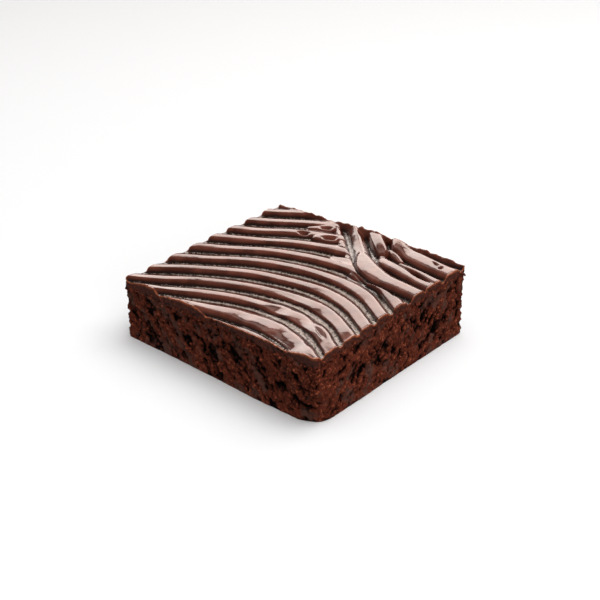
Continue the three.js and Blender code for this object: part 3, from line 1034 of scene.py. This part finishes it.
@dataclass
class Cake:
    """The cake: a dense slab with torn, pitted sides."""

    around: int = 1120
    rings: int = 66
    pit_depth: float = 1.1
    pit_spacing: float = 3.4
    lip: float = 0.8
    high_lip: float = 1.75
    notch: float = 7.5
    swell: float = 0.4
    step: float = 0.01

    def _stack(self) -> bpy.types.Object:
        """Models a closed stack of rings.

        Returns:
            The stack, one unit in radius, with its rings one step apart.
        """
        bpy.ops.mesh.primitive_circle_add(vertices=self.around, radius=1)
        stack = bpy.context.object
        bpy.ops.object.mode_set(mode="EDIT")
        bpy.ops.mesh.select_mode(type="EDGE")
        bpy.ops.mesh.select_all(action="SELECT")
        bpy.ops.mesh.edge_face_add()
        for _ in range(self.rings + 2):
            bpy.ops.mesh.extrude_region_move(TRANSFORM_OT_translate={"value": (0, 0, self.step)})
        bpy.ops.mesh.select_all(action="SELECT")
        bpy.ops.mesh.normals_make_consistent(inside=False)
        bpy.ops.object.mode_set(mode="OBJECT")
        return stack

    def _outline(self, share: Array, height: Array) -> tuple[Array, Array, Array, Array]:
        """Points of the slab's outline, anticlockwise from the middle of the side at +X.

        Args:
            share: Share of the way around.
            height: Height of each point.

        Returns:
            X and Y of each point and of its outward direction.
        """
        edge = SLAB.base_edge
        inset = edge - np.sqrt(np.maximum(0, edge**2 - np.maximum(0, edge - height) ** 2))
        hx, hy = SLAB.length / 2, SLAB.width / 2
        run = share * 4 * (hx + hy)
        corners = np.cumsum([hy, 2 * hx, 2 * hy, 2 * hx, hy])
        side = np.searchsorted(corners, run, side="right") % 5
        starts = np.concatenate([[0], corners])[side]
        along = run - starts - np.where(side == 0, 0, np.where(side % 2 == 0, hy, hx))
        side = side % 4
        half = np.where(side % 2 == 0, hy, hx)
        slope, step = (ramp(height, low, SLAB.worn_top) for low in (0, self.notch))
        wear = 1 - mix(slope, step, 0.55)
        plain = mix(SLAB.base_corner, SLAB.top_corner, np.clip(height / SLAB.height, 0, 1))
        worn = mix(plain, SLAB.worn_corner, wear)
        ahead = along > 0
        at_worn = ((side == 0) & ~ahead) | ((side == 3) & ahead)
        radius = np.where(at_worn, worn, plain)
        over = np.maximum(0, np.abs(along) - (half - radius)) / radius
        bend = over * math.pi / 4
        rounded = half - radius + radius * np.sin(bend)
        forward = np.sign(along) * np.where(over > 0, rounded, np.abs(along))
        depth = np.where(side % 2 == 0, hx, hy) - radius * (1 - np.cos(bend)) * (over > 0)
        forward_out = np.sign(along) * np.sin(bend)
        depth_out = np.cos(bend)
        turn = side * math.pi / 2
        c, s = np.round(np.cos(turn)), np.round(np.sin(turn))
        out_x = depth_out * c - forward_out * s
        out_y = depth_out * s + forward_out * c
        x = depth * c - forward * s - inset * out_x
        y = depth * s + forward * c - inset * out_y
        return x, y, out_x, out_y

    def _crags(self, x: Array, y: Array, z: Array, share: Array) -> tuple[Array, Array, Array]:
        """Relief of the torn sides.

        Args:
            x: X of each point.
            y: Y of each point.
            z: Z of each point.
            share: Share of the cake's height.

        Returns:
            How far each point stands in from its plane, how much painted light it gets, low in pits
            and deep tears where painted shade goes, and how smeared it is, which sets its painted
            sheen, both from 0 to 1.
        """
        s = 1 / self.pit_spacing
        lumps = noise(x * s, y * s, z * s * 1.3)
        crumbs = noise(x * s * 2.3 + 5, y * s * 2.3, z * s * 2.3)
        pits = np.maximum(0, 0.65 * lumps + 0.35 * crumbs + 0.15)
        fade = np.clip(np.minimum(4 * share, 6 * (1 - share)), 0, 1)
        wobble = [0.45 * noise(x / 0.9 + k * 9, y / 0.9, z / 0.9) for k in range(3)]
        wx, wy, wz = x + wobble[0], y + wobble[1], z + wobble[2]
        slant = wx - wy
        across, along, through = slant + wz, slant - wz, wx + wy
        streaks = noise(across / 1.5, along / 4.2, through / 5)
        tears = noise(across / 0.8 + 3, along / 2.0, through / 2.5)
        cracks = (1 - np.abs(noise(wx / 1.7, wy / 1.7, wz / 1.7 + 7))) ** 7
        points = np.stack([wx, wy, wz], axis=1)
        medium = clumps(points, 1.25, 2)
        small = clumps(points, 0.66, 3)
        fine = noise(x / 0.42, y / 0.42, z / 0.42)
        deep = ramp(streaks, 0.05, 0.6)
        torn = 0.5 * deep + 0.36 * ramp(tears, 0, 0.6) + 0.36 * cracks
        torn = torn + 0.5 * (medium**2 - 0.25) + 0.24 * (small**2 - 0.25) - 0.08 * fine
        kept = np.clip(5 * share + 0.12, 0, 1)
        inward = 0.6 * self.pit_depth * pits * fade + kept * torn - self.swell
        # Share of painted light: low in pits and deep tears, where painted shade darkens the crumb.
        painted_light = 0.92 - 0.62 * torn - 0.3 * pits * fade - 0.1 * fine
        smear_sheen = ramp(noise(across / 2.6 + 8, along / 6, through / 7), 0.05, 0.5)
        return inward, np.clip(painted_light, 0, 1), smear_sheen * (1 - deep)

    def surface(self, around: Array, share: Array) -> dict[str, Array]:
        """Finds points of the torn sides.

        Args:
            around: Share of the way around the slab.
            share: Share of the way up the sides.

        Returns:
            Each point's x, y and z, its outward direction out_x and out_y, the height of the lip
            above it, how much painted light rather than painted shade the crumb gets there and how
            smeared it is, which sets its painted sheen.
        """
        x, y, out_x, out_y = self._outline(around, share * SLAB.height)
        ragged = 0.55 + 0.35 * noise(x / 2.2, y / 2.2, 31) + 0.3 * noise(x / 0.8, y / 0.8, 32)
        lip = mix(self.lip, self.high_lip, ramp(out_x, 0.3, 0.9)) * np.clip(ragged, 0, 1.1)
        z = share * (SLAB.top(x, y) + lip)
        inward, painted_light, smear_sheen = self._crags(x, y, z, share)
        spread = 0.5 * ramp(out_x, 0.5, 0.9) * (1 - ramp(share, 0.4, 0.95))
        move = SLAB.side_wave(x, y, z) - inward + spread
        return {
            "x": x + out_x * move,
            "y": y + out_y * move,
            "z": z,
            "out_x": out_x,
            "out_y": out_y,
            "lip": lip,
            "painted_light": painted_light,
            "smear_sheen": smear_sheen,
        }

    def _shape(self, stack: bpy.types.Object) -> None:
        """Gives the stack the slab's outline, its crags and a torn upper rim.

        Args:
            stack: The stack.
        """
        mesh = stack.data
        cx, cy, depth = points_of(mesh).T
        ring = np.round(depth / self.step)
        around = (np.arctan2(cy, cx) / (2 * math.pi)) % 1
        share = np.clip(ring / self.rings, 0, 1)
        side = self.surface(around, share)
        closing = np.maximum(0, ring - self.rings)
        x = side["x"] - side["out_x"] * 0.6 * closing
        y = side["y"] - side["out_y"] * 0.6 * closing
        top = SLAB.top(x, y)
        z = np.where(closing == 2, top - 0.2, side["z"])
        z = np.where(closing == 1, top + 0.5 * side["lip"], z)
        move_points(mesh, x, y, z)
        keep_values(mesh, {"relief": side["painted_light"], "smear_sheen": side["smear_sheen"]})
        mesh.update()

    def build(self) -> bpy.types.Object:
        """Makes the cake and dresses it.

        Returns:
            The cake.
        """
        bpy.ops.object.select_all(action="DESELECT")
        stack = self._stack()
        stack.name = "torn_cake"
        self._shape(stack)
        bpy.ops.object.shade_smooth_by_angle(angle=math.radians(60))
        stack.data.materials.append(CrumbFinish().material())
        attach(stack, BODY)
        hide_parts("cake")
        return stack


# Loose crumbs


@dataclass
class Crumbs:
    """Small lumps that cling to the torn sides, to the seam under the icing and to its cut rim."""

    cake: Cake
    icing: Icing
    seed: int = 11
    on_sides: int = 380
    on_seam: int = 380
    on_wall: int = 240
    on_corner: int = 110
    corner_at: float = 0.8801
    smallest: float = 0.16
    largest: float = 0.46

    @staticmethod
    def _lump() -> tuple[Array, Array]:
        """Models one round lump of unit radius.

        Returns:
            Its points and its triangles.
        """
        bpy.ops.object.select_all(action="DESELECT")
        bpy.ops.mesh.primitive_ico_sphere_add(subdivisions=2, radius=1, calc_uvs=False)
        lump = bpy.context.object
        mesh = lump.data
        points = points_of(mesh)
        triangles = np.empty(len(mesh.polygons) * 3, dtype=np.int32)
        mesh.polygons.foreach_get("vertices", triangles)
        bpy.data.objects.remove(lump)
        bpy.data.meshes.remove(mesh)
        return points, triangles.reshape(-1, 3)

    def _places(self, rng: np.random.Generator) -> Array:
        """Picks where the lumps cling.

        Args:
            rng: Source of random numbers.

        Returns:
            The middle of each lump, in rows of three.
        """
        around = np.concatenate(
            [
                rng.random(self.on_sides),
                rng.random(self.on_seam),
                self.corner_at + 0.0035 * rng.standard_normal(self.on_corner),
            ]
        )
        share = np.concatenate(
            [
                0.03 + 0.9 * rng.random(self.on_sides),
                1 - 0.1 * rng.random(self.on_seam) ** 1.5,
                0.56 + 0.42 * rng.random(self.on_corner),
            ]
        )
        side = self.cake.surface(around, share)
        stood = 0.05 * rng.random(len(share))
        x, y = side["x"] + stood * side["out_x"], side["y"] + stood * side["out_y"]
        on_cake = np.stack([x, y, side["z"]], axis=1)
        edge = self.cake.surface(rng.random(self.on_wall), np.ones(self.on_wall))
        wall_x = np.clip(edge["x"], -SLAB.length / 2 + 0.25, SLAB.length / 2 - 0.25)
        wall_y = np.clip(edge["y"], -SLAB.width / 2 + 0.25, SLAB.width / 2 - 0.25)
        thickness = self.icing.comb.relief(wall_x, wall_y)[0]
        climb = 0.75 * rng.random(self.on_wall) ** 1.4
        wall_z = SLAB.top(wall_x, wall_y) + self.icing.comb.gap + thickness * climb
        wall_x, wall_y = wall_x + 0.12 * edge["out_x"], wall_y + 0.12 * edge["out_y"]
        return np.vstack([on_cake, np.stack([wall_x, wall_y, wall_z], axis=1)])

    def build(self) -> bpy.types.Object:
        """Scatters the lumps as one piece and dresses it.

        Returns:
            The crumbs.
        """
        rng = np.random.default_rng(self.seed)
        points, triangles = self._lump()
        places = self._places(rng)
        count = len(places)
        sizes = mix(self.smallest, self.largest, rng.random((count, 1, 1)) ** 2.2)
        stretch = 0.7 + 0.6 * rng.random((count, 1, 3))
        turns = np.linalg.qr(rng.standard_normal((count, 3, 3)))[0]
        turns *= np.sign(np.linalg.det(turns))[:, None, None]
        shifts = 7 * np.arange(count)[:, None]
        bumps = 1 + 0.3 * noise(points[:, 0] * 1.6 + shifts, points[:, 1] * 1.6, points[:, 2] * 1.6)
        lumps = (points[None] * bumps[:, :, None] * stretch) @ turns * sizes + places[:, None]
        lumps[:, :, 2] = np.maximum(lumps[:, :, 2], 0.02)
        faces = triangles[None] + len(points) * np.arange(count)[:, None, None]
        mesh = bpy.data.meshes.new("loose_crumbs")
        mesh.from_pydata((lumps.reshape(-1, 3) * MM).tolist(), [], faces.reshape(-1, 3).tolist())
        # Loose lumps get a random share of painted light and no painted sheen.
        painted_light = np.repeat(0.55 + 0.45 * rng.random(count), len(points))
        keep_values(mesh, {"relief": painted_light, "smear_sheen": np.zeros(len(painted_light))})
        mesh.shade_smooth()
        mesh.materials.append(CrumbFinish(name="loose_crumb").material())
        crumbs = bpy.data.objects.new("loose_crumbs", mesh)
        bpy.context.scene.collection.objects.link(crumbs)
        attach(crumbs, BODY)
        return crumbs


# Studio


@dataclass(frozen=True)
class Studio:
    """Floor, soft lights and camera."""

    azimuth: float = math.radians(41.311)
    elevation: float = math.radians(28.174)
    camera_at: tuple[float, float, float] = (0.172694, -0.194488, 0.149622)
    lens: float = 66.0
    floor_half: float = 1.5
    softbox_distance: float = 0.9
    aim_height: float = 0.015
    backdrop: float = 1.1
    room: float = 0.22
    room_hidden: float = 0.12
    warm: Colour = (1.0, 0.855, 0.785)

    def _floor(self) -> None:
        """Lays the floor."""
        bpy.ops.mesh.primitive_plane_add(size=2 * self.floor_half, location=(0, 0, 0))
        floor = bpy.context.object
        floor.name = "studio_floor"
        floor.visible_glossy = False
        floor.visible_diffuse = False
        material, recipe = new_material("pale_floor")
        finish_material(recipe, {"Base Color": (0.94, 0.94, 0.94), "Roughness": 0.9})
        floor.data.materials.append(material)

    def _softbox(
        self,
        name: str,
        bearing: float,
        height: float,
        size: tuple[float, float],
        radiance: float,
        mirrored: bool = True,
        lighting: bool = True,
        tint: Colour = (1.0, 1.0, 1.0),
    ) -> None:
        """Hangs a softbox that faces the brownie.

        Args:
            name: Its name.
            bearing: Degrees to the right of straight behind the brownie, as the camera sees it.
            height: Degrees above the floor.
            size: Width and height in metres.
            radiance: Its brightness, where 1 is white.
            mirrored: Whether it shows in glossy surfaces.
            lighting: Whether it lights matte surfaces.
            tint: Its colour.
        """
        data = bpy.data.lights.new(name, "AREA")
        data.color = tint
        data.shape = "RECTANGLE"
        data.size, data.size_y = size
        data.energy = radiance * math.pi * size[0] * size[1]
        lamp = bpy.data.objects.new(name, data)
        bpy.context.scene.collection.objects.link(lamp)
        heading = self.azimuth + math.pi - math.radians(bearing)
        rise = math.radians(height)
        level = math.cos(rise)
        towards = Vector((math.sin(heading) * level, -math.cos(heading) * level, math.sin(rise)))
        lamp.location = towards * self.softbox_distance + Vector((0, 0, self.aim_height))
        lamp.rotation_euler = towards.to_track_quat("Z", "Y").to_euler()
        lamp.visible_camera = False
        lamp.visible_glossy = mirrored
        lamp.visible_diffuse = lighting

    def _world(self) -> None:
        """Sets a white backdrop that glossy surfaces see as a dim room."""
        world = bpy.data.worlds.new("studio_room")
        bpy.context.scene.world = world
        world.use_nodes = True
        world.node_tree.nodes.clear()
        recipe = Recipe(world.node_tree)
        path = recipe.node("ShaderNodeLightPath")
        seen = recipe.out(path, "Is Camera Ray")
        mirrored = recipe.out(path, "Is Glossy Ray")
        dim = self.room - mirrored * self.room_hidden
        strength = seen * self.backdrop + (1 - seen) * dim
        sockets = {"Color": (1.0, 1.0, 1.0), "Strength": strength}
        background = recipe.node("ShaderNodeBackground", None, sockets)
        recipe.node("ShaderNodeOutputWorld", None, {"Surface": recipe.out(background)})

    def _camera(self) -> None:
        """Places the camera."""
        data = bpy.data.cameras.new("studio_camera")
        data.lens = self.lens
        data.sensor_width = 36
        camera = bpy.data.objects.new("studio_camera", data)
        bpy.context.scene.collection.objects.link(camera)
        camera.location = self.camera_at
        camera.rotation_euler = (math.pi / 2 - self.elevation, 0, self.azimuth)
        bpy.context.scene.camera = camera

    def build(self) -> None:
        """Sets up the whole studio."""
        self._floor()
        self._softbox("low_softbox", 0, 25, (1.05, 0.37), 5.5, lighting=False, tint=self.warm)
        self._softbox("middle_softbox", 0, 47, (1.2, 0.16), 1.3, lighting=False, tint=self.warm)
        self._softbox("over_softbox", -90, 78, (0.9, 0.9), 1.15, mirrored=False)
        self._softbox("top_softbox", 80, 66, (0.8, 0.8), 3.2, mirrored=False)
        self._softbox("front_softbox", 158, 17, (0.6, 0.4), 2.7, mirrored=False)
        self._world()
        self._camera()
        view = bpy.context.scene.view_settings
        view.view_transform = "Standard"
        view.look = "None"


def main() -> None:
    """Builds the brownie and its studio."""
    logging.basicConfig(level=logging.INFO, format="%(name)s: %(message)s")
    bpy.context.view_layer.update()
    icing, cake = Icing(), Cake()
    for maker in (icing, cake, Crumbs(cake, icing)):
        piece = maker.build()
        log.info("%s has %d faces", piece.name, len(piece.data.polygons))
    Studio().build()


if __name__ == "__main__":
    main()
